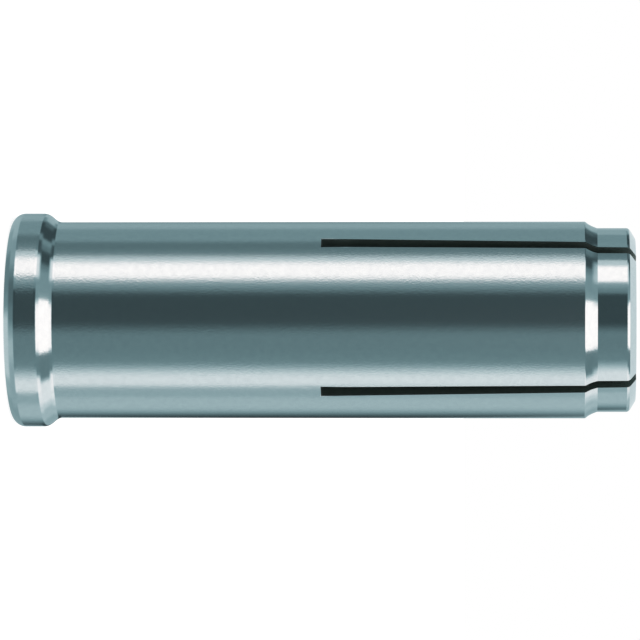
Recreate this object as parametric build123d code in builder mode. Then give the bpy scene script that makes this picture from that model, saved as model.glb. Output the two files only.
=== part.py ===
from build123d import *
from math import cos, radians, sin, tan
import os

# A flush drop-in expansion anchor. A steel sleeve with a lip at its mouth and a threaded
# bore is split into four leaves at its nose. A tapered plug waits inside, behind the thread,
# and spreads the leaves when it is driven towards the nose.
# The mouth face lies in the XY plane, centred on the origin, and the nose points up +Z.
# All sizes are in millimetres.

# Outside of the sleeve. Behind the nose the body falls in a steep slope that runs out into a
# flatter toe, which ends in a sharp line on the nose.
body_diameter = 24.9
lip_projection = 1.1
lip_length = 4.45
lip_mouth_rounding = 1.6
lip_back_angle = 39.6
lip_back_rounding = 1.6
lip_foot_rounding = 1.4
nose_step = 0.82
nose_length = 4.83
nose_shoulder_angle = 36.0
nose_shoulder_rounding = 0.3
nose_slope_rounding = 3.0
nose_toe_angle = 21.0
nose_toe_drop = 0.31
nose_chamfer_length = 0.85
nose_chamfer_depth = 1.4
nose_chamfer_rounding = 0.6

# Bore of the sleeve, from the mouth to the nose
thread_diameter = 20.0
thread_pitch = 2.5
mouth_countersink_margin = 0.4
thread_depth = 34.0
thread_runout = 2.0
chamber_step = 0.3
chamber_length = 16.0
taper_length = 27.0
taper_half_angle = 4.35
bore_tip_chamfer = 0.4

# Slots between the leaves, cut from the nose. They narrow towards the nose and lean, so the
# front and back leaves are the wider pair at the slots' root.
slot_length = 39.45
slot_root_width = 1.65
slot_tip_width = 1.14
leaf_tip_half_angle = 46.0
leaf_root_half_angle = 48.7

# Expander plug
plug_clearance = 0.15
plug_shank_length = 14.5
plug_cone_length = 13.5
plug_back_chamfer = 0.6
plug_front_chamfer = 0.8

# Sizes that follow from those above
CORE_PER_PITCH = 1.0825  # what a 60 degree metric thread takes off the diameter, per pitch
CUT_MARGIN = 1.0

length = thread_depth + thread_runout + chamber_length + taper_length
body_radius = body_diameter / 2
lip_radius = body_radius + lip_projection
lip_foot_z = lip_length + lip_projection / tan(radians(lip_back_angle))
nose_radius = body_radius - nose_step
nose_foot_z = length - nose_length
nose_toe_radius = nose_radius + nose_toe_drop
nose_toe_z = nose_foot_z - nose_toe_drop / tan(radians(nose_toe_angle))
nose_shoulder_z = nose_toe_z - (nose_step - nose_toe_drop) / tan(radians(nose_shoulder_angle))

core_radius = (thread_diameter - CORE_PER_PITCH * thread_pitch) / 2
mouth_radius = thread_diameter / 2 + mouth_countersink_margin
countersink_depth = mouth_radius - core_radius
chamber_radius = core_radius - chamber_step
thread_end_z = thread_depth + thread_runout
taper_start_z = thread_end_z + chamber_length
taper_slope = tan(radians(taper_half_angle))
tip_radius = chamber_radius - taper_slope * taper_length

slot_root_z = length - slot_length
slot_lean = body_radius * sin(radians(leaf_root_half_angle - leaf_tip_half_angle))
slot_inner_reach = tip_radius / 2

plug_radius = chamber_radius - plug_clearance
plug_back_z = taper_start_z - plug_shank_length
plug_front_z = taper_start_z + plug_cone_length
plug_front_radius = plug_radius - taper_slope * plug_cone_length


def corner(x, y):
    """The vertex of the section being drawn that lies nearest to x, y."""
    return vertices().sort_by_distance((x, y))[0]


def slot_width(z):
    """Width of a slot at height z. It narrows evenly from its root to the nose end."""
    share = (z - slot_root_z) / slot_length
    return slot_root_width + (slot_tip_width - slot_root_width) * share


def slot_middle(z):
    """How far a slot's middle line lies to the side of its tip at height z."""
    return slot_lean * (length - z) / slot_length


# Slot cutters: one at each side of the front leaf, which faces -Y, and two at the back
slot_angle = radians(leaf_tip_half_angle - 90)
slot_outward = Vector(cos(slot_angle), sin(slot_angle), 0)
slot_plane = Plane(
    origin=slot_outward * slot_inner_reach,
    x_dir=Vector(0, 0, 1).cross(slot_outward),
    z_dir=slot_outward,
)
slot_end_z = length + CUT_MARGIN
with BuildPart() as slot_cutters:
    with BuildSketch(slot_plane):
        with BuildLine():
            Polyline(
                (slot_middle(slot_root_z) - slot_width(slot_root_z) / 2, slot_root_z),
                (slot_middle(slot_root_z) + slot_width(slot_root_z) / 2, slot_root_z),
                (slot_middle(slot_end_z) + slot_width(slot_end_z) / 2, slot_end_z),
                (slot_middle(slot_end_z) - slot_width(slot_end_z) / 2, slot_end_z),
                close=True,
            )
        make_face()
    extrude(amount=body_radius + CUT_MARGIN - slot_inner_reach)
    mirror(about=Plane.YZ)
    mirror(about=Plane.XZ)


# Sleeve: a turned section with a lip, a stepped nose and a tapering bore, split into leaves
with BuildPart() as anchor_sleeve:
    with BuildSketch(Plane.XZ):
        with BuildLine():
            Polyline(
                (mouth_radius, 0),
                (lip_radius, 0),
                (lip_radius, lip_length),
                (body_radius, lip_foot_z),
                (body_radius, nose_shoulder_z),
                (nose_toe_radius, nose_toe_z),
                (nose_radius, nose_foot_z),
                (nose_radius, length - nose_chamfer_length),
                (nose_radius - nose_chamfer_depth, length),
                (tip_radius + bore_tip_chamfer, length),
                (tip_radius, length - bore_tip_chamfer),
                (chamber_radius, taper_start_z),
                (chamber_radius, thread_end_z + chamber_step),
                (core_radius, thread_end_z),
                (core_radius, countersink_depth),
                close=True,
            )
        make_face()
        fillet(corner(lip_radius, 0), lip_mouth_rounding)
        fillet(corner(lip_radius, lip_length), lip_back_rounding)
        fillet(corner(body_radius, lip_foot_z), lip_foot_rounding)
        fillet(corner(body_radius, nose_shoulder_z), nose_shoulder_rounding)
        fillet(corner(nose_toe_radius, nose_toe_z), nose_slope_rounding)
        fillet(corner(nose_radius, length - nose_chamfer_length), nose_chamfer_rounding)
        fillet(corner(nose_radius - nose_chamfer_depth, length), nose_chamfer_rounding)
    revolve(axis=Axis.Z)
    add(slot_cutters.part, mode=Mode.SUBTRACT)


# Expander plug: a short shank with a cone that matches the bore's taper
with BuildPart() as expander_plug:
    with BuildSketch(Plane.XZ):
        with BuildLine():
            Polyline(
                (0, plug_back_z),
                (plug_radius, plug_back_z),
                (plug_radius, taper_start_z),
                (plug_front_radius, plug_front_z),
                (0, plug_front_z),
                close=True,
            )
        make_face()
        chamfer(corner(plug_radius, plug_back_z), plug_back_chamfer)
        chamfer(corner(plug_front_radius, plug_front_z), plug_front_chamfer)
    revolve(axis=Axis.Z)


os.makedirs("parts", exist_ok=True)
anchor_sleeve.part.label = "anchor_sleeve"
export_step(anchor_sleeve.part, "parts/anchor_sleeve.step")
expander_plug.part.label = "expander_plug"
export_step(expander_plug.part, "parts/expander_plug.step")
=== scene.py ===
from math import asin, ceil, cos, floor, pi, radians, sin, tan
from typing import NamedTuple

import bmesh
import bpy
from bpy.props import FloatProperty, FloatVectorProperty, IntProperty, PointerProperty
from bpy.types import Operator, Panel, PropertyGroup
from mathutils import Matrix, Vector


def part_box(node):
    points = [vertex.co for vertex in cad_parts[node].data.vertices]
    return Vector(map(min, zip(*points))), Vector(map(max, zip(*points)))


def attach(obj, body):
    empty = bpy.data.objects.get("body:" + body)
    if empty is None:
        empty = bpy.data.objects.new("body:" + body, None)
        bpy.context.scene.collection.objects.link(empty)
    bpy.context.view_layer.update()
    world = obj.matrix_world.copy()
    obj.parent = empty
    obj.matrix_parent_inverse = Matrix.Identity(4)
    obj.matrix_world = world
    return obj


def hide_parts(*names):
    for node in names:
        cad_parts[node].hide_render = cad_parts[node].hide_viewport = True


bl_info = {
    "name": "Drop-in anchor",
    "version": (1, 0, 0),
    "blender": (4, 5, 0),
    "location": "3D View > Sidebar > Anchor",
    "description": "Dresses a drop-in anchor: slotted sleeve with its thread, expander plug, white studio",
    "category": "Object",
}

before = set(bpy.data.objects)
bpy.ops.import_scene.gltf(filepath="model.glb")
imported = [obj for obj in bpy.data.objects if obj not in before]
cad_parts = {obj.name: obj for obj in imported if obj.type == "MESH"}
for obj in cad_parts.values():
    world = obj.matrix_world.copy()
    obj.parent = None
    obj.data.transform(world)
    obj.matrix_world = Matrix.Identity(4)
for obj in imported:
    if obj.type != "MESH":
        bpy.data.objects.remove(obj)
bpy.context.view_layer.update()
SLEEVE_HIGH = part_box("anchor_sleeve")[1]
PLUG_LOW, PLUG_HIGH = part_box("expander_plug")

MM = 0.001
TOLERANCE = 0.001 * MM
PROFILE_ARC_STEP = radians(7)
RING_STEP = 3 * MM
SHARP_ANGLE = radians(35)
THREAD_DEPTH_PER_PITCH = 0.54125
PLUG_HUB_SHARE = 0.02
DEGREES_PER_RADIAN = 180 / pi


def length_property(name, description, default):
    """A size in metres, shown with its unit."""
    return FloatProperty(
        name=name, description=description, default=default, min=0,
        unit="LENGTH", subtype="DISTANCE", precision=5,
    )


def angle_property(name, description, degrees):
    """An angle, given in degrees and kept in radians."""
    return FloatProperty(
        name=name, description=description, default=radians(degrees), unit="ROTATION", subtype="ANGLE",
    )


def share_property(name, description, default):
    """A share or strength with no unit."""
    return FloatProperty(name=name, description=description, default=default, min=0)


def colour_property(name, description, default):
    """A colour in linear light."""
    return FloatVectorProperty(
        name=name, description=description, default=default, size=3, min=0, subtype="COLOR",
    )


class AnchorSleeveSizes(PropertyGroup):
    """Sizes of the sleeve's outside, bore and slots."""

    body_diameter: length_property("Body diameter", "Plain stretch between the lip and the nose", 24.9 * MM)
    lip_length: length_property("Lip length", "Mouth face to the corner behind the lip", 4.45 * MM)
    lip_mouth_rounding: length_property("Lip mouth rounding", "Rounding of the lip's front edge", 1.6 * MM)
    lip_back_angle: angle_property("Lip back angle", "Slope behind the lip, from the axis", 39.6)
    lip_back_rounding: length_property("Lip back rounding", "Rounding of the corner behind it", 1.6 * MM)
    lip_foot_rounding: length_property("Lip foot rounding", "Hollow where the lip meets the body", 1.4 * MM)
    nose_step: length_property("Nose step", "How much smaller the nose's radius is", 0.82 * MM)
    nose_length: length_property("Nose length", "Nose end to the foot of the slope", 4.83 * MM)
    nose_shoulder_angle: angle_property("Nose shoulder angle", "Slope's steep part, from the axis", 36.0)
    nose_shoulder_rounding: length_property("Nose shoulder rounding", "Rounding at the body's end", 0.3 * MM)
    nose_slope_rounding: length_property("Nose slope rounding", "Hollow between the slope's parts", 3.0 * MM)
    nose_toe_angle: angle_property("Nose toe angle", "Slope's flat part, from the axis", 21.0)
    nose_toe_drop: length_property("Nose toe drop", "Fall of the flat part", 0.31 * MM)
    nose_chamfer_length: length_property("Nose chamfer length", "End chamfer along the axis", 0.85 * MM)
    nose_chamfer_depth: length_property("Nose chamfer depth", "End chamfer across the axis", 1.4 * MM)
    nose_chamfer_rounding: length_property("Nose chamfer rounding", "Rounding of both its edges", 0.6 * MM)

    thread_diameter: length_property("Thread diameter", "Largest diameter of the internal thread", 20.0 * MM)
    thread_pitch: length_property("Thread pitch", "Distance from ridge to ridge", 2.5 * MM)
    countersink_margin: length_property("Countersink margin", "Mouth's radius over the thread's", 0.4 * MM)
    thread_depth: length_property("Thread depth", "Full thread, from the mouth face", 34.0 * MM)
    thread_runout: length_property("Thread run-out", "Fading thread behind the full one", 2.0 * MM)
    chamber_step: length_property("Chamber step", "Chamber's radius under the thread core's", 0.3 * MM)
    chamber_length: length_property("Chamber length", "Straight bore that holds the plug", 16.0 * MM)
    taper_half_angle: angle_property("Taper half angle", "Slope of the narrowing bore", 4.35)
    bore_tip_chamfer: length_property("Bore tip chamfer", "Edge break at the bore's nose end", 0.4 * MM)

    slot_length: length_property("Slot length", "Slots, from the nose end", 39.45 * MM)
    slot_root_width: length_property("Slot root width", "Width at the inner end", 1.65 * MM)
    slot_tip_width: length_property("Slot tip width", "Width at the nose end", 1.14 * MM)
    leaf_tip_half_angle: angle_property("Leaf tip half angle", "Half of the front leaf at the nose", 46)
    leaf_root_half_angle: angle_property("Leaf root half angle", "Half of the front leaf at the root", 48.7)
    slot_edge_rounding: length_property("Slot edge rounding", "Slots' edges and the nose's foot", 0.09 * MM)

    leaf_columns: IntProperty(name="Leaf columns", description="Faces across a leaf", default=48, min=8)
    slot_columns: IntProperty(
        name="Slot columns", description="Faces across the strip below a slot", default=4, min=1,
    )


class ExpanderPlugSizes(PropertyGroup):
    """Sizes of the plug, which stands where the frame has it."""

    cone_length: length_property("Cone length", "Tapered front of the plug", 13.5 * MM)
    back_chamfer: length_property("Back chamfer", "Edge break at the struck end", 0.6 * MM)
    front_chamfer: length_property("Front chamfer", "Edge break at the front end", 0.8 * MM)
    edge_rounding: length_property("Edge rounding", "Rounding of the plug's edges", 0.12 * MM)
    columns: IntProperty(name="Columns", description="Faces round the plug", default=128, min=16)


class AnchorFinish(PropertyGroup):
    """Colours and surface of the plated steel. The darker colours of the slot walls and the bore also paint
    the shade inside them.
    """

    zinc_colour: colour_property("Zinc colour", "Bright zinc plate", (0.66, 0.73, 0.74))
    zinc_shade: colour_property("Zinc shade", "Duller patches in the plate", (0.625, 0.695, 0.71))
    # Painted shade: the slot walls are darker than the zinc partly as cut steel and partly to paint the
    # shade inside the narrow slots.
    cut_colour_and_slot_shade: colour_property("Cut colour and slot shade", "Walls of the slots", (0.29, 0.36, 0.34))
    # Painted shade: the bore and thread are darker than the outside zinc, to paint the shade inside the
    # bore.
    bore_colour_and_shade: colour_property("Bore colour", "Thread and bore", (0.42, 0.45, 0.45))
    plug_colour: colour_property("Plug colour", "Plug", (0.50, 0.53, 0.53))
    body_roughness: share_property("Body roughness", "Satin of the body and lip", 0.16)
    end_roughness: share_property("End roughness", "Smoother slopes and nose", 0.10)
    cut_roughness: share_property("Cut roughness", "Walls of the slots", 0.5)
    bore_roughness: share_property("Bore roughness", "Thread, bore and plug", 0.3)
    body_grain: length_property("Body grain", "Depth of the grain on the body and inside", 0.011 * MM)
    end_grain: length_property("End grain", "Depth of the grain on the slopes and nose", 0.003 * MM)


class StudioSettings(PropertyGroup):
    """Camera, floor and light."""

    camera_azimuth: angle_property("Camera azimuth", "Round the axis, from the front leaf", 2.5)
    camera_distance: length_property("Camera distance", "From the axis", 0.615)
    camera_height: length_property("Camera height", "Above the mouth face", 0.069)
    aim_height: length_property("Aim height", "Height of the frame's middle", 0.03903)
    frame_width: length_property("Frame width", "What the frame takes in at the axis", 0.0813)
    floor_size: length_property("Floor size", "Side of the floor", 6.0)
    floor_colour: colour_property("Floor colour", "Floor under its glow", (0.3, 0.3, 0.3))
    floor_roughness: share_property("Floor roughness", "How matt the floor is", 0.9)
    white_strength: share_property("White strength", "White behind the part and on the floor", 1.0)
    floor_glow: share_property("Floor glow", "Light that the floor gives off", 0.85)


def rounded_chain(corners):
    """Section points (radius, height) along corners (radius, height, rounding), with roundings as arcs."""
    chain = []
    for index, (x, y, rounding) in enumerate(corners):
        if rounding == 0 or index in (0, len(corners) - 1):
            chain.append((x, y))
            continue
        here = Vector((x, y))
        before = (Vector(corners[index - 1][:2]) - here).normalized()
        after = (Vector(corners[index + 1][:2]) - here).normalized()
        half_angle = before.angle(after) / 2
        reach = rounding / tan(half_angle)
        centre = here + (before + after).normalized() * (rounding / sin(half_angle))
        start = here + before * reach - centre
        turn = pi - 2 * half_angle
        if start.x * after.y - start.y * after.x < 0:
            turn = -turn
        steps = max(2, ceil(abs(turn) / PROFILE_ARC_STEP))
        for step in range(steps + 1):
            angle = turn * step / steps
            chain.append((
                centre.x + start.x * cos(angle) - start.y * sin(angle),
                centre.y + start.x * sin(angle) + start.y * cos(angle),
            ))
    return chain


def with_heights(chain, heights):
    """The chain with a point added wherever one of the heights crosses it."""
    result = [chain[0]]
    for (r0, z0), (r1, z1) in zip(chain, chain[1:]):
        low, high = min(z0, z1), max(z0, z1)
        between = [h for h in heights if low + TOLERANCE < h < high - TOLERANCE]
        for height in sorted(between, reverse=z1 < z0):
            share = (height - z0) / (z1 - z0)
            result.append((r0 + (r1 - r0) * share, height))
        result.append((r1, z1))
    return result


def spaced(start, end, count):
    """This many evenly spaced values from the start on, without the end."""
    return [start + (end - start) * i / count for i in range(count)]


class SleeveShape:
    """Radii, heights and slot places worked out from the sleeve's sizes."""

    def __init__(self, sizes):
        self.sizes = sizes
        self.length = SLEEVE_HIGH.z
        self.lip_radius = SLEEVE_HIGH.x
        self.body_radius = sizes.body_diameter / 2
        self.lip_foot = sizes.lip_length + (self.lip_radius - self.body_radius) / tan(sizes.lip_back_angle)
        self.nose_radius = self.body_radius - sizes.nose_step
        self.nose_foot = self.length - sizes.nose_length
        self.nose_toe_radius = self.nose_radius + sizes.nose_toe_drop
        self.nose_toe = self.nose_foot - sizes.nose_toe_drop / tan(sizes.nose_toe_angle)
        steep_drop = self.body_radius - self.nose_toe_radius
        self.nose_shoulder = self.nose_toe - steep_drop / tan(sizes.nose_shoulder_angle)
        self.thread_radius = sizes.thread_diameter / 2
        self.core_radius = self.thread_radius - THREAD_DEPTH_PER_PITCH * sizes.thread_pitch
        self.mouth_radius = self.thread_radius + sizes.countersink_margin
        self.thread_end = sizes.thread_depth + sizes.thread_runout
        self.chamber_radius = self.core_radius - sizes.chamber_step
        self.chamber_start = self.thread_end + sizes.chamber_step
        self.taper_start = self.thread_end + sizes.chamber_length
        taper_length = self.length - self.taper_start
        self.tip_radius = self.chamber_radius - tan(sizes.taper_half_angle) * taper_length
        self.slot_root = self.length - sizes.slot_length
        self.slot_lean = self.body_radius * sin(sizes.leaf_root_half_angle - sizes.leaf_tip_half_angle)
        tip = sizes.leaf_tip_half_angle
        self.slots = [(-pi / 2 - tip, -1), (-pi / 2 + tip, 1), (pi / 2 - tip, -1), (pi / 2 + tip, 1)]

    def outer_chain(self):
        """The section from the mouth's inner edge round the outside to the bore's edge at the nose."""
        sizes = self.sizes
        return rounded_chain([
            (self.mouth_radius, 0, 0),
            (self.lip_radius, 0, sizes.lip_mouth_rounding),
            (self.lip_radius, sizes.lip_length, sizes.lip_back_rounding),
            (self.body_radius, self.lip_foot, sizes.lip_foot_rounding),
            (self.body_radius, self.nose_shoulder, sizes.nose_shoulder_rounding),
            (self.nose_toe_radius, self.nose_toe, sizes.nose_slope_rounding),
            (self.nose_radius, self.nose_foot, sizes.slot_edge_rounding),
            (self.nose_radius, self.length - sizes.nose_chamfer_length, sizes.nose_chamfer_rounding),
            (self.nose_radius - sizes.nose_chamfer_depth, self.length, sizes.nose_chamfer_rounding),
            (self.tip_radius + sizes.bore_tip_chamfer, self.length, 0),
        ])

    def inner_chain(self):
        """The section from the bore's edge at the nose back to the thread's inner end."""
        sizes = self.sizes
        return [
            (self.tip_radius, self.length - sizes.bore_tip_chamfer),
            (self.chamber_radius, self.taper_start),
            (self.chamber_radius, self.chamber_start),
            (self.core_radius, self.thread_end),
        ]

    def slot_edges(self, slot, radius, height):
        """The angles of a slot's two edges on a circle of this radius at this height."""
        angle, side = self.slots[slot]
        sizes = self.sizes
        height = max(height, self.slot_root)
        share = (self.length - height) / sizes.slot_length
        middle = side * self.slot_lean * share
        widening = sizes.slot_root_width - sizes.slot_tip_width
        half_width = (sizes.slot_tip_width + widening * share) / 2
        return angle + asin((middle - half_width) / radius), angle + asin((middle + half_width) / radius)

    def column_angles(self, radius, height):
        """The angle of every column: each slot's strip, then the leaf that follows it."""
        sizes = self.sizes
        edges = [self.slot_edges(slot, radius, height) for slot in range(len(self.slots))]
        angles = []
        for slot, (left, right) in enumerate(edges):
            next_left = edges[(slot + 1) % len(edges)][0]
            if next_left < right:
                next_left += 2 * pi
            angles += spaced(left, right, sizes.slot_columns)
            angles += spaced(right, next_left, sizes.leaf_columns)
        return angles


def ring(mesh, radius, height, angles):
    """A ring of vertices at one height."""
    return [mesh.verts.new((radius * cos(a), radius * sin(a), height)) for a in angles]


def bridge(mesh, lower, upper, columns, material):
    """Faces between two rings, for the given columns."""
    count = len(lower)
    for i in columns:
        j = (i + 1) % count
        face = mesh.faces.new((lower[i], lower[j], upper[j], upper[i]))
        face.material_index = material


def thread_profile(shape):
    """One pitch as (share of the pitch, radius): a flat ridge, a flat root and flanks at 60 degrees."""
    core, root = shape.core_radius, shape.thread_radius
    ridge_share, root_share = 0.25, 0.125
    flank_share = (1 - ridge_share - root_share) / 2
    flank_steps = 3
    depth = root - core
    return_flank = ridge_share + flank_share + root_share
    points = [(0.0, core)]
    for i in range(flank_steps + 1):
        points.append((ridge_share + flank_share * i / flank_steps, core + depth * i / flank_steps))
    for i in range(flank_steps):
        points.append((return_flank + flank_share * i / flank_steps, root - depth * i / flank_steps))
    return points


def add_thread(mesh, shape, bottom, top, angles, material):
    """A right-handed thread between two rings. It runs out at the top and meets the countersink below."""
    pitch = shape.sizes.thread_pitch
    profile = thread_profile(shape)
    rows_per_turn = len(profile)
    z_bottom, z_top = bottom[0].co.z, top[0].co.z
    spare_turns = 2
    first_turn = floor(z_bottom / pitch) - spare_turns
    last_turn = ceil(z_top / pitch) + spare_turns
    row_count = (last_turn - first_turn) * rows_per_turn

    def vertices_of(column):
        angle = angles[column]
        made = []
        for row in range(row_count):
            share, radius = profile[row % rows_per_turn]
            z = pitch * (angle / (2 * pi) + first_turn + row // rows_per_turn + share)
            if z <= z_bottom + TOLERANCE:
                made.append(bottom[column])
                continue
            if z >= z_top - TOLERANCE:
                made.append(top[column])
                continue
            fade = min(1.0, (z_top - z) / shape.sizes.thread_runout)
            radius = shape.core_radius + (radius - shape.core_radius) * fade
            radius = max(radius, shape.mouth_radius - z)
            made.append(mesh.verts.new((radius * cos(angle), radius * sin(angle), z)))
        return made

    columns = [vertices_of(column) for column in range(len(angles))]
    for index, column in enumerate(columns):
        following = columns[(index + 1) % len(columns)]
        shift = rows_per_turn if index == len(columns) - 1 else 0
        for row in range(row_count - 1 - shift):
            corners = (column[row], following[row + shift], following[row + 1 + shift], column[row + 1])
            distinct = list(dict.fromkeys(corners))
            if len(distinct) > 2:
                mesh.faces.new(distinct).material_index = material


# The sleeve's materials, in their order on the mesh.
BODY, ENDS, CUT, BORE = range(4)


def build_sleeve_mesh(sizes):
    """The sleeve as one closed mesh, with its slots and its thread."""
    shape = SleeveShape(sizes)
    mesh = bmesh.new()
    steps_above = int((shape.nose_shoulder - shape.slot_root) / RING_STEP)
    steps_below = int((shape.slot_root - shape.lip_foot) / RING_STEP)
    heights = [shape.slot_root + RING_STEP * i for i in range(1 - steps_below, steps_above)]
    outer = with_heights(shape.outer_chain(), heights)
    inner = with_heights(shape.inner_chain(), [h for h in heights if h > shape.chamber_start])
    stations = outer + inner
    per_slot = sizes.slot_columns + sizes.leaf_columns
    everything = range(per_slot * len(shape.slots))
    leaves = [i for i in everything if i % per_slot >= sizes.slot_columns]

    rings = [ring(mesh, r, z, shape.column_angles(r, z)) for r, z in stations]
    for index in range(len(stations) - 1):
        (r0, z0), (r1, z1) = stations[index], stations[index + 1]
        split = max(z0, z1) > shape.slot_root + TOLERANCE
        if index >= len(outer) - 1:
            material = BORE
        elif abs(r1 - r0) < TOLERANCE and z1 < shape.nose_toe:
            material = BODY
        else:
            material = ENDS
        bridge(mesh, rings[index], rings[index + 1], leaves if split else everything, material)

    split_stations = [i for i, (_, z) in enumerate(stations) if z > shape.slot_root - TOLERANCE]
    outer_root, inner_root = split_stations[0], split_stations[-1]
    rounded_edges = []
    for slot in range(len(shape.slots)):
        left = slot * per_slot
        right = left + sizes.slot_columns
        for column in (left, right):
            wall = [rings[i][column] for i in split_stations]
            mesh.faces.new(wall).material_index = CUT
            rounded_edges += list(zip(wall, wall[1:]))
        across = range(left, right + 1)
        end_wall = [rings[outer_root][c] for c in across]
        end_wall += [rings[inner_root][c] for c in reversed(across)]
        mesh.faces.new(end_wall).material_index = CUT
        for root in (outer_root, inner_root):
            rounded_edges += [(rings[root][c], rings[root][c + 1]) for c in range(left, right)]

    thread_start = shape.mouth_radius - shape.thread_radius
    thread_angles = shape.column_angles(shape.core_radius, shape.thread_end)
    mouth = ring(mesh, shape.thread_radius, thread_start, thread_angles)
    bridge(mesh, mouth, rings[0], everything, BORE)
    add_thread(mesh, shape, mouth, rings[-1], thread_angles, BORE)

    for station in split_stations[1:-1]:
        for vertex in rings[station]:
            if not vertex.link_faces:
                mesh.verts.remove(vertex)
    edges = [mesh.edges.get(pair) for pair in rounded_edges]
    bmesh.ops.bevel(
        mesh, geom=edges, affect="EDGES", offset=sizes.slot_edge_rounding, offset_type="OFFSET",
        segments=3, profile=0.5, clamp_overlap=True, material=ENDS,
    )
    bmesh.ops.recalc_face_normals(mesh, faces=mesh.faces)
    return mesh


def build_plug_mesh(sizes, taper_half_angle):
    """The plug as a closed mesh turned from its section, with a cone of this half angle."""
    radius = PLUG_HIGH.x
    hub_radius = radius * PLUG_HUB_SHARE
    back, front = PLUG_LOW.z, PLUG_HIGH.z
    slope = tan(taper_half_angle)
    front_radius = radius - slope * sizes.cone_length
    edge = sizes.edge_rounding
    chain = rounded_chain([
        (hub_radius, back, 0),
        (radius - sizes.back_chamfer, back, edge),
        (radius, back + sizes.back_chamfer, edge),
        (radius, front - sizes.cone_length, 0),
        (front_radius + slope * sizes.front_chamfer, front - sizes.front_chamfer, edge),
        (front_radius - sizes.front_chamfer, front, edge),
        (hub_radius, front, 0),
    ])
    mesh = bmesh.new()
    angles = spaced(0, 2 * pi, sizes.columns)
    rings = [ring(mesh, r, z, angles) for r, z in chain]
    for lower, upper in zip(rings, rings[1:]):
        bridge(mesh, lower, upper, range(sizes.columns), 0)
    mesh.faces.new(rings[0])
    mesh.faces.new(rings[-1])
    bmesh.ops.recalc_face_normals(mesh, faces=mesh.faces)
    return mesh


def add_piece(name, mesh, materials):
    """An object made from a finished bmesh, smooth but for its sharp edges, with flat faces shaded flat."""
    data = bpy.data.meshes.new(name)
    mesh.to_mesh(data)
    mesh.free()
    for material in materials:
        data.materials.append(material)
    data.shade_smooth()
    data.set_sharp_from_angle(angle=SHARP_ANGLE)
    piece = bpy.data.objects.new(name, data)
    bpy.context.scene.collection.objects.link(piece)
    weighted = piece.modifiers.new("weighted normals", "WEIGHTED_NORMAL")
    weighted.keep_sharp = True
    with bpy.context.temp_override(object=piece, active_object=piece):
        bpy.ops.object.modifier_apply(modifier=weighted.name)
    return piece


def new_group(name, inputs, outputs):
    """A shader node group with named sockets, and its input and output nodes."""
    group = bpy.data.node_groups.new(name, "ShaderNodeTree")
    for socket, kind, default in inputs:
        made = group.interface.new_socket(socket, in_out="INPUT", socket_type=kind)
        made.default_value = default
    for socket, kind in outputs:
        group.interface.new_socket(socket, in_out="OUTPUT", socket_type=kind)
    return group, group.nodes.new("NodeGroupInput"), group.nodes.new("NodeGroupOutput")


def node(tree, kind, **values):
    """A node with its properties and its named or numbered inputs set."""
    made = tree.nodes.new(kind)
    for key, value in values.items():
        if key == "inputs":
            for socket, default in value.items():
                made.inputs[socket].default_value = default
        else:
            setattr(made, key, value)
    return made


def plate_grain_group():
    """Grain of plated steel: duller patches, speckled roughness and pebbled height, in object space."""
    name = "plate grain"
    if name in bpy.data.node_groups:
        return bpy.data.node_groups[name]
    group, source, target = new_group(
        name,
        [
            ("Colour", "NodeSocketColor", (0.7, 0.7, 0.7, 1)),
            ("Shade", "NodeSocketColor", (0.6, 0.6, 0.6, 1)),
            ("Roughness", "NodeSocketFloat", 0.25),
            ("Roughness Spread", "NodeSocketFloat", 0.04),
            ("Pebbles per Metre", "NodeSocketFloat", 4500.0),
        ],
        [("Colour", "NodeSocketColor"), ("Roughness", "NodeSocketFloat"), ("Height", "NodeSocketFloat")],
    )
    link = group.links.new
    place = node(group, "ShaderNodeTexCoord").outputs["Object"]
    pebbles = node(group, "ShaderNodeTexNoise", inputs={"Detail": 2.0, "Roughness": 0.55})
    patches = node(group, "ShaderNodeTexNoise", inputs={"Scale": 1300.0, "Detail": 3.0, "Roughness": 0.7})
    link(place, pebbles.inputs["Vector"])
    link(place, patches.inputs["Vector"])
    link(source.outputs["Pebbles per Metre"], pebbles.inputs["Scale"])
    contrast = node(group, "ShaderNodeMapRange", inputs={"From Min": 0.35, "From Max": 0.65})
    link(patches.outputs["Fac"], contrast.inputs["Value"])
    colour = node(group, "ShaderNodeMix", data_type="RGBA")
    colour_a, colour_b = [s for s in colour.inputs if s.type == "RGBA"]
    link(contrast.outputs["Result"], colour.inputs["Factor"])
    link(source.outputs["Colour"], colour_a)
    link(source.outputs["Shade"], colour_b)
    centred = node(group, "ShaderNodeMath", operation="SUBTRACT", inputs={1: 0.5})
    link(patches.outputs["Fac"], centred.inputs[0])
    spread = node(group, "ShaderNodeMath", operation="MULTIPLY_ADD")
    link(centred.outputs[0], spread.inputs[0])
    link(source.outputs["Roughness Spread"], spread.inputs[1])
    link(source.outputs["Roughness"], spread.inputs[2])
    link([s for s in colour.outputs if s.type == "RGBA"][0], target.inputs["Colour"])
    link(spread.outputs[0], target.inputs["Roughness"])
    link(pebbles.outputs["Fac"], target.inputs["Height"])
    return group


def plated_material(name, colour, shade, roughness, grain_depth):
    """A plated steel finish with its own colour, roughness and grain."""
    material = bpy.data.materials.new(name)
    material.use_nodes = True
    tree = material.node_tree
    shader = tree.nodes["Principled BSDF"]
    shader.inputs["Metallic"].default_value = 1.0
    grain = node(tree, "ShaderNodeGroup", node_tree=plate_grain_group())
    grain.inputs["Colour"].default_value = (*colour, 1)
    grain.inputs["Shade"].default_value = (*shade, 1)
    grain.inputs["Roughness"].default_value = roughness
    bump = node(tree, "ShaderNodeBump", inputs={"Strength": 1.0, "Distance": grain_depth})
    tree.links.new(grain.outputs["Colour"], shader.inputs["Base Color"])
    tree.links.new(grain.outputs["Roughness"], shader.inputs["Roughness"])
    tree.links.new(grain.outputs["Height"], bump.inputs["Height"])
    tree.links.new(bump.outputs["Normal"], shader.inputs["Normal"])
    return material


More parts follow.
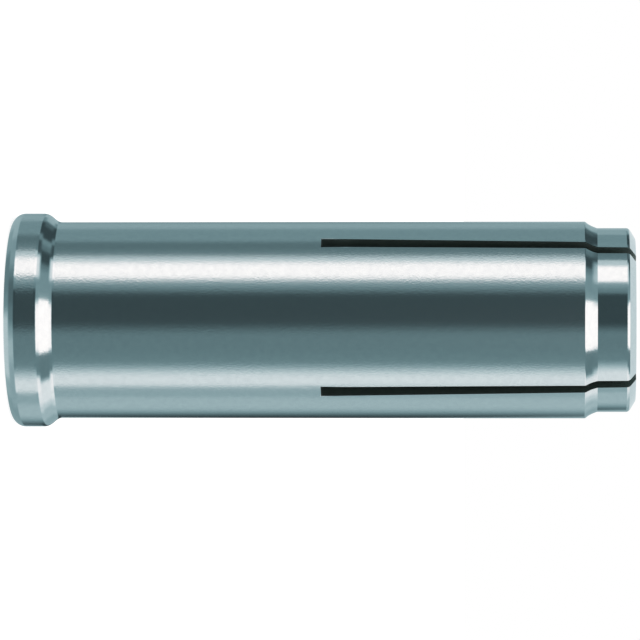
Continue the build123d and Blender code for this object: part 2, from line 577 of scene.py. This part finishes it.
class ANCHOR_OT_build_sleeve(Operator):
    """Build the slotted sleeve with its thread, in place of the plain one"""

    bl_idname = "anchor.build_sleeve"
    bl_label = "Build sleeve"

    def execute(self, context):
        look = context.scene.anchor_finish
        # cut and bore carry the darker colours that also paint the shade in the slots and inside the bore.
        zinc, shade, cut, bore = look.zinc_colour, look.zinc_shade, look.cut_colour_and_slot_shade, look.bore_colour_and_shade
        materials = [
            plated_material("satin zinc", zinc, shade, look.body_roughness, look.body_grain),
            plated_material("bright zinc", zinc, shade, look.end_roughness, look.end_grain),
            # Darker partly as cut steel and partly as painted shade of the slots.
            plated_material("cut steel with painted slot shade", cut, cut, look.cut_roughness, look.body_grain),
            # Its darker colour paints the shade inside the bore.
            plated_material("bore zinc with painted shade", bore, bore, look.bore_roughness, look.body_grain),
        ]
        mesh = build_sleeve_mesh(context.scene.anchor_sleeve)
        piece = add_piece("anchor_sleeve_turned", mesh, materials)
        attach(piece, "root")
        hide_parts("anchor_sleeve")
        return {"FINISHED"}


class ANCHOR_OT_build_plug(Operator):
    """Build the expander plug, in place of the plain one"""

    bl_idname = "anchor.build_plug"
    bl_label = "Build plug"

    def execute(self, context):
        look = context.scene.anchor_finish
        colour = look.plug_colour
        material = plated_material("plug zinc", colour, colour, look.bore_roughness, look.body_grain)
        taper = context.scene.anchor_sleeve.taper_half_angle
        mesh = build_plug_mesh(context.scene.expander_plug, taper)
        piece = add_piece("expander_plug_turned", mesh, [material])
        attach(piece, "root")
        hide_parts("expander_plug")
        return {"FINISHED"}


class Step(NamedTuple):
    """An edge between two strips of light: where it lies, how soft it is, and the level beyond it."""

    angle: float
    softness: float
    level: float


class Band(NamedTuple):
    """The strips that surfaces show from this lean on, and how softly they take over."""

    lean: float
    softness: float
    strips: tuple


# Every angle below is in degrees and belongs to the surface that shows the light to the camera. A step's
# angle is the surface's turn from the camera towards the picture's top, and a band's lean is its lean
# towards the nose. Each list of steps starts at the picture's bottom.
SIDE_STRIPS = (
    Step(-90, 0, 0.06), Step(-70.3, 18, 0.60), Step(-51.5, 3, 0.485), Step(-42.3, 2, 0.98),
    Step(-30.2, 11, 0.28), Step(-20, 10, 0.25), Step(-5.3, 8, 0.075), Step(16.7, 3, 0.27),
    Step(20.4, 4, 0.40), Step(24.2, 2.5, 1.34), Step(35.6, 3, 0.74), Step(40.3, 1, 0.25),
    Step(45, 6, 0.20), Step(52.5, 1, 0.355), Step(57, 4, 0.335), Step(67.6, 1.5, 0.45),
    Step(78, 6, 0.34),
)
FOOT_STRIPS = (
    Step(-90, 0, 0.45), Step(-72, 8, 0.60), Step(-60, 6, 0.83), Step(-53, 6, 1.05),
    Step(-45, 5, 1.15), Step(-32, 5, 0.27), Step(-17.5, 5, 1.33), Step(9.5, 6, 0.36),
    Step(23.5, 4, 0.98), Step(37.5, 5, 0.10), Step(49, 3, 0.30), Step(54, 4, 0.075),
    Step(68, 5, 0.30), Step(76, 4, 0.50),
)
SHOULDER_STRIPS = (
    Step(-90, 0, 0.45), Step(-70, 8, 0.60), Step(-57.5, 5, 0.80), Step(-52.5, 4, 1.02),
    Step(-35.8, 5, 0.25), Step(-18.6, 2.2, 1.38), Step(11.4, 2.2, 0.41), Step(15, 4, 0.355),
    Step(28.5, 4, 0.24), Step(32.5, 4, 0.078), Step(41.5, 4, 0.22), Step(46, 3, 0.32),
    Step(50.5, 3, 0.075), Step(63, 5, 0.15), Step(70, 5, 0.50),
)
RIM_STRIPS = (
    Step(-90, 0, 0.40), Step(-55, 10, 0.48), Step(-22, 8, 0.59), Step(-9, 8, 0.42),
    Step(-2, 8, 0.24), Step(8, 8, 0.17), Step(23, 8, 0.26), Step(30, 8, 0.40),
    Step(50, 8, 0.52), Step(75, 6, 0.45),
)
EDGE_STRIPS = (
    Step(-90, 0, 0.40), Step(-48, 8, 0.50), Step(-34, 8, 0.74), Step(4, 10, 0.32),
    Step(15, 6, 0.26), Step(40, 8, 0.40), Step(60, 8, 0.50),
)
TOP_STRIPS = (Step(-90, 0, 0.80), Step(-50, 20, 0.84), Step(60, 20, 0.82))
TENT_BANDS = (
    Band(-90, 0, EDGE_STRIPS),
    Band(-36, 12, RIM_STRIPS),
    Band(-11, 6, SIDE_STRIPS),
    Band(8, 5, FOOT_STRIPS),
    Band(23, 16, SHOULDER_STRIPS),
    Band(43, 3, TOP_STRIPS),
)
# The light's red and blue, as shares of its green. Both change with the level, and the red's has limits.
RED_AT_DARK, RED_PER_LEVEL, RED_LEAST, RED_MOST = 0.5, 0.5, 0.65, 1.12
BLUE_AT_DARK, BLUE_PER_LEVEL = 1.1, -0.09


def math_node(tree, operation, *values):
    """The output of a Math node. Each value is a number or another node's output."""
    made = tree.nodes.new("ShaderNodeMath")
    made.operation = operation
    for socket, value in zip(made.inputs, values):
        if isinstance(value, (int, float)):
            socket.default_value = value
        else:
            tree.links.new(value, socket)
    return made.outputs[0]


def vector_node(tree, operation, *values):
    """The output of a Vector Math node. Each value is a vector or another node's output."""
    made = tree.nodes.new("ShaderNodeVectorMath")
    made.operation = operation
    for socket, value in zip(made.inputs, values):
        if isinstance(value, (tuple, Vector)):
            socket.default_value = value
        else:
            tree.links.new(value, socket)
    return made.outputs[0]


def soft_step(tree, value, place, softness, height=1.0):
    """A smooth rise from 0 to height round a place."""
    made = node(tree, "ShaderNodeMapRange", interpolation_type="SMOOTHSTEP")
    tree.links.new(value, made.inputs["Value"])
    made.inputs["From Min"].default_value = place - softness / 2
    made.inputs["From Max"].default_value = place + softness / 2
    made.inputs["To Max"].default_value = height
    return made.outputs["Result"]


def strip_levels(tree, angle, strips):
    """The brightness of a band of strips at this angle."""
    level = strips[0].level
    for before, strip in zip(strips, strips[1:]):
        rise = soft_step(tree, angle, strip.angle, strip.softness, strip.level - before.level)
        level = math_node(tree, "ADD", level, rise)
    return level


def blend_levels(tree, low, high, share):
    """Low where the share is 0 and high where it is 1."""
    return math_node(tree, "MULTIPLY_ADD", share, math_node(tree, "SUBTRACT", high, low), low)


def picture_angle(tree, direction):
    """The turn of a direction from -Y towards the picture's top, in degrees, and its height."""
    split = node(tree, "ShaderNodeSeparateXYZ")
    tree.links.new(direction, split.inputs[0])
    x, y, z = split.outputs
    upwards = math_node(tree, "MULTIPLY", x, -1)
    towards_camera = math_node(tree, "MULTIPLY", y, -1)
    angle = math_node(tree, "ARCTAN2", upwards, towards_camera)
    return math_node(tree, "MULTIPLY", angle, DEGREES_PER_RADIAN), z


def banded_light(tree, across, lean, bands):
    """The colour of the light for a surface that faces this way, from its band and its strip."""
    level = strip_levels(tree, across, bands[0].strips)
    for band in bands[1:]:
        share = soft_step(tree, lean, band.lean, band.softness)
        level = blend_levels(tree, level, strip_levels(tree, across, band.strips), share)
    tint = node(tree, "ShaderNodeGroup", node_tree=light_tint_group())
    tree.links.new(level, tint.inputs["Level"])
    return tint.outputs["Colour"]


def facing_of(tree, ray, camera_rise):
    """The turn and lean, in degrees, of a surface that shows the camera what lies along this ray."""
    towards_camera = Vector((0, -1, camera_rise)).normalized()
    facing = vector_node(tree, "NORMALIZE", vector_node(tree, "ADD", ray, towards_camera))
    across, rise = picture_angle(tree, facing)
    lean = math_node(tree, "MULTIPLY", math_node(tree, "ARCSINE", rise), DEGREES_PER_RADIAN)
    return across, lean


def light_tint_group():
    """The colour of a strip of this level: dim ones are blue-green, and bright ones look neutral on zinc."""
    name = "light tint"
    if name in bpy.data.node_groups:
        return bpy.data.node_groups[name]
    group, source, target = new_group(
        name, [("Level", "NodeSocketFloat", 0.5)], [("Colour", "NodeSocketColor")],
    )
    level = source.outputs["Level"]
    red_share = math_node(group, "MULTIPLY_ADD", level, RED_PER_LEVEL, RED_AT_DARK)
    red_share = math_node(group, "MAXIMUM", red_share, RED_LEAST)
    red_share = math_node(group, "MINIMUM", red_share, RED_MOST)
    blue_share = math_node(group, "MULTIPLY_ADD", level, BLUE_PER_LEVEL, BLUE_AT_DARK)
    radiance = node(group, "ShaderNodeCombineXYZ")
    group.links.new(math_node(group, "MULTIPLY", level, red_share), radiance.inputs["X"])
    group.links.new(level, radiance.inputs["Y"])
    group.links.new(math_node(group, "MULTIPLY", level, blue_share), radiance.inputs["Z"])
    group.links.new(radiance.outputs[0], target.inputs["Colour"])
    return group


def build_world(scene, settings):
    """White to the camera and to matt surfaces, and a tent of light and dark strips to the metal."""
    world = bpy.data.worlds.new("light tent")
    scene.world = world
    world.use_nodes = True
    tree = world.node_tree
    tree.nodes.clear()
    link = tree.links.new

    ray = node(tree, "ShaderNodeTexCoord").outputs["Generated"]
    turned = node(
        tree, "ShaderNodeVectorRotate", rotation_type="Z_AXIS", inputs={"Angle": -settings.camera_azimuth},
    )
    link(ray, turned.inputs["Vector"])
    camera_rise = (settings.camera_height - settings.aim_height) / settings.camera_distance
    tent = node(tree, "ShaderNodeBackground")
    white = node(
        tree, "ShaderNodeBackground", inputs={"Color": (1, 1, 1, 1), "Strength": settings.white_strength},
    )
    mix = node(tree, "ShaderNodeMixShader")
    output = node(tree, "ShaderNodeOutputWorld")
    facing = facing_of(tree, turned.outputs[0], camera_rise)
    link(banded_light(tree, *facing, TENT_BANDS), tent.inputs["Color"])
    path = node(tree, "ShaderNodeLightPath")
    sees_white = math_node(tree, "MAXIMUM", path.outputs["Is Camera Ray"], path.outputs["Is Diffuse Ray"])
    link(sees_white, mix.inputs["Fac"])
    link(tent.outputs[0], mix.inputs[1])
    link(white.outputs[0], mix.inputs[2])
    link(mix.outputs[0], output.inputs["Surface"])


def build_floor(scene, settings):
    """A glowing white floor that reflections don't see."""
    mesh = bmesh.new()
    half = settings.floor_size / 2
    corners = ((-half, -half, 0), (half, -half, 0), (half, half, 0), (-half, half, 0))
    mesh.faces.new([mesh.verts.new(corner) for corner in corners])
    data = bpy.data.meshes.new("studio_floor")
    mesh.to_mesh(data)
    mesh.free()
    material = bpy.data.materials.new("white floor")
    material.use_nodes = True
    shader = material.node_tree.nodes["Principled BSDF"]
    shader.inputs["Base Color"].default_value = (*settings.floor_colour, 1)
    shader.inputs["Emission Color"].default_value = (1, 1, 1, 1)
    shader.inputs["Emission Strength"].default_value = settings.floor_glow
    shader.inputs["Roughness"].default_value = settings.floor_roughness
    shader.inputs["Specular IOR Level"].default_value = 0.0
    data.materials.append(material)
    floor_piece = bpy.data.objects.new("studio_floor", data)
    scene.collection.objects.link(floor_piece)
    floor_piece.visible_glossy = False


def build_camera(scene, settings):
    """The camera, rolled so that the part's axis runs along the picture with the nose to the right."""
    lens_data = bpy.data.cameras.new("camera")
    camera = bpy.data.objects.new("camera", lens_data)
    scene.collection.objects.link(camera)
    scene.camera = camera
    camera.location = (
        sin(settings.camera_azimuth) * settings.camera_distance,
        -cos(settings.camera_azimuth) * settings.camera_distance,
        settings.camera_height,
    )
    aim = Vector((0, 0, settings.aim_height))
    back = (camera.location - aim).normalized()
    right = (Vector((0, 0, 1)) - back * back.z).normalized()
    up = back.cross(right)
    camera.rotation_euler = Matrix((right, up, back)).transposed().to_euler()
    distance = (camera.location - aim).length
    lens_data.sensor_width = 36.0
    lens_data.lens = lens_data.sensor_width * distance / settings.frame_width
    lens_data.clip_start = 0.01
    lens_data.clip_end = 100.0


class ANCHOR_OT_build_studio(Operator):
    """Build the floor, the light tent and the camera"""

    bl_idname = "anchor.build_studio"
    bl_label = "Build studio"

    def execute(self, context):
        scene = context.scene
        build_floor(scene, scene.anchor_studio)
        build_world(scene, scene.anchor_studio)
        build_camera(scene, scene.anchor_studio)
        scene.view_settings.view_transform = "Standard"
        return {"FINISHED"}


class ANCHOR_PT_build(Panel):
    """Lists the build steps"""

    bl_idname = "ANCHOR_PT_build"
    bl_label = "Drop-in anchor"
    bl_space_type = "VIEW_3D"
    bl_region_type = "UI"
    bl_category = "Anchor"

    def draw(self, context):
        for operator in OPERATORS:
            self.layout.operator(operator.bl_idname)


OPERATORS = (ANCHOR_OT_build_sleeve, ANCHOR_OT_build_plug, ANCHOR_OT_build_studio)
GROUPS = {
    "anchor_sleeve": AnchorSleeveSizes,
    "expander_plug": ExpanderPlugSizes,
    "anchor_finish": AnchorFinish,
    "anchor_studio": StudioSettings,
}


def register():
    for group in GROUPS.values():
        bpy.utils.register_class(group)
    for operator in OPERATORS:
        bpy.utils.register_class(operator)
    bpy.utils.register_class(ANCHOR_PT_build)
    for name, group in GROUPS.items():
        setattr(bpy.types.Scene, name, PointerProperty(type=group))


def unregister():
    for name in GROUPS:
        delattr(bpy.types.Scene, name)
    bpy.utils.unregister_class(ANCHOR_PT_build)
    for operator in reversed(OPERATORS):
        bpy.utils.unregister_class(operator)
    for group in reversed(list(GROUPS.values())):
        bpy.utils.unregister_class(group)


def main():
    register()
    bpy.ops.anchor.build_studio()
    bpy.ops.anchor.build_sleeve()
    bpy.ops.anchor.build_plug()


if __name__ == "__main__":
    main()
